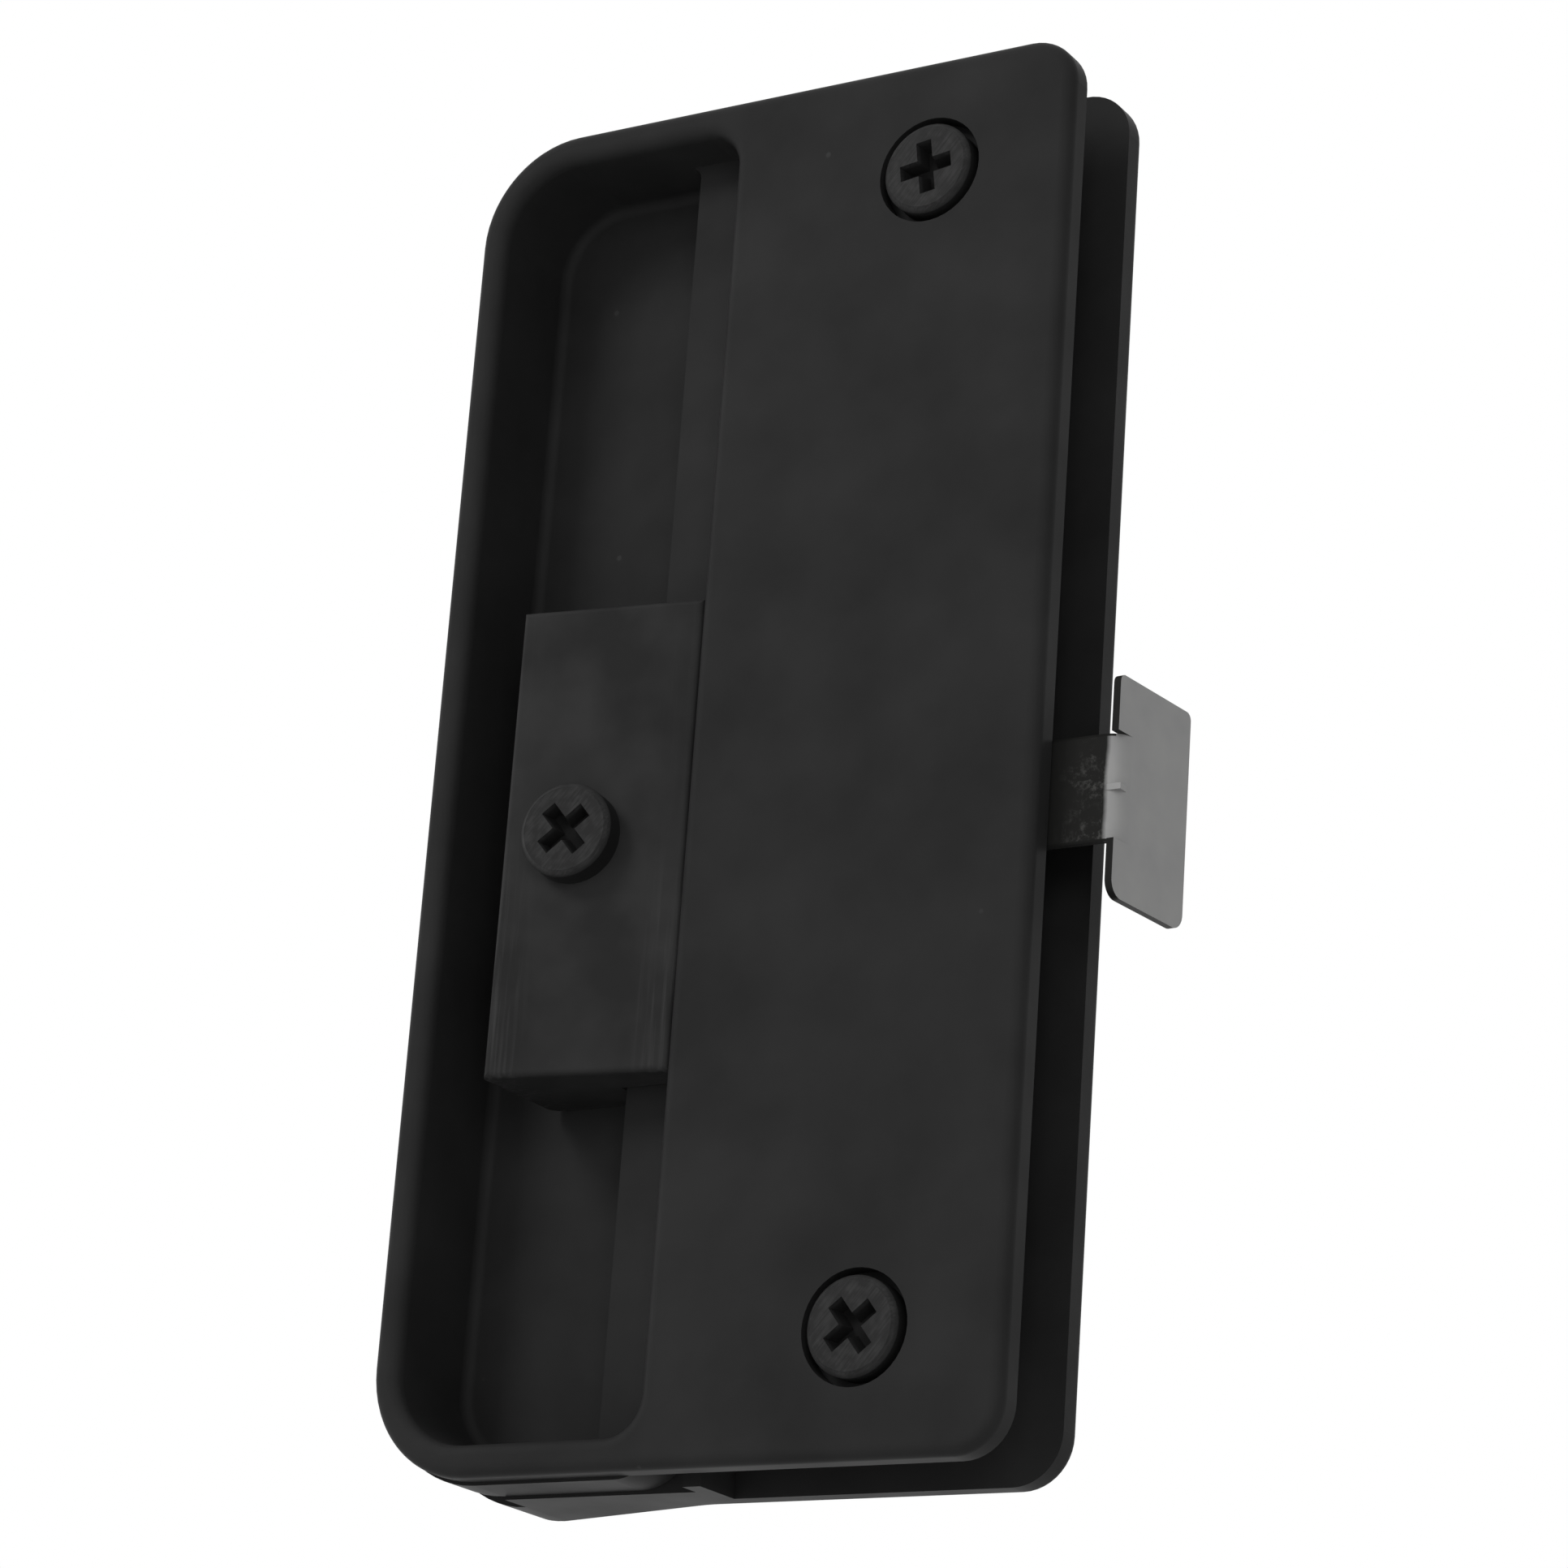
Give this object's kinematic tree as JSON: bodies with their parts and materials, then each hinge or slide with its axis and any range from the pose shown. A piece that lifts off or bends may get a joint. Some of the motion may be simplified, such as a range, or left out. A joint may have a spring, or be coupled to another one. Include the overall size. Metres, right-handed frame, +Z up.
{
  "type": "screen door latch",
  "caption": "Sliding screen door latch and pull set: two moulded plastic halves clamp the stile, and a thumb lever in the finger cup slides a bent steel latch bar.",
  "frame": {"origin": "midway between the two mounting screws, on the stile's outer face, where the outside plate seats", "axes": "+X towards the jamb, +Y to the outside of the door, +Z up along the stile"},
  "size_m": [0.0507, 0.0159, 0.0928],
  "materials": {
    "moulded_black": "fine moulded texture",
    "lever_black": "moulded, rubbed satin",
    "latch_steel": "zinc plated, matt grey",
    "screw_black": "black oxide"
  },
  "bodies": {
    "housing": {"inside_pull": "moulded_black", "outside_pull": "moulded_black", "mounting_screws": "screw_black"},
    "latch": {"thumb_lever": "lever_black", "latch_bar": "latch_steel", "lever_screw": "screw_black"}
  },
  "joints": [
    {"name": "latch_slide", "type": "slide", "parent": "housing", "child": "latch", "axis": [0, 0, 1], "range_m": [0, 0.0098]}
  ]
}
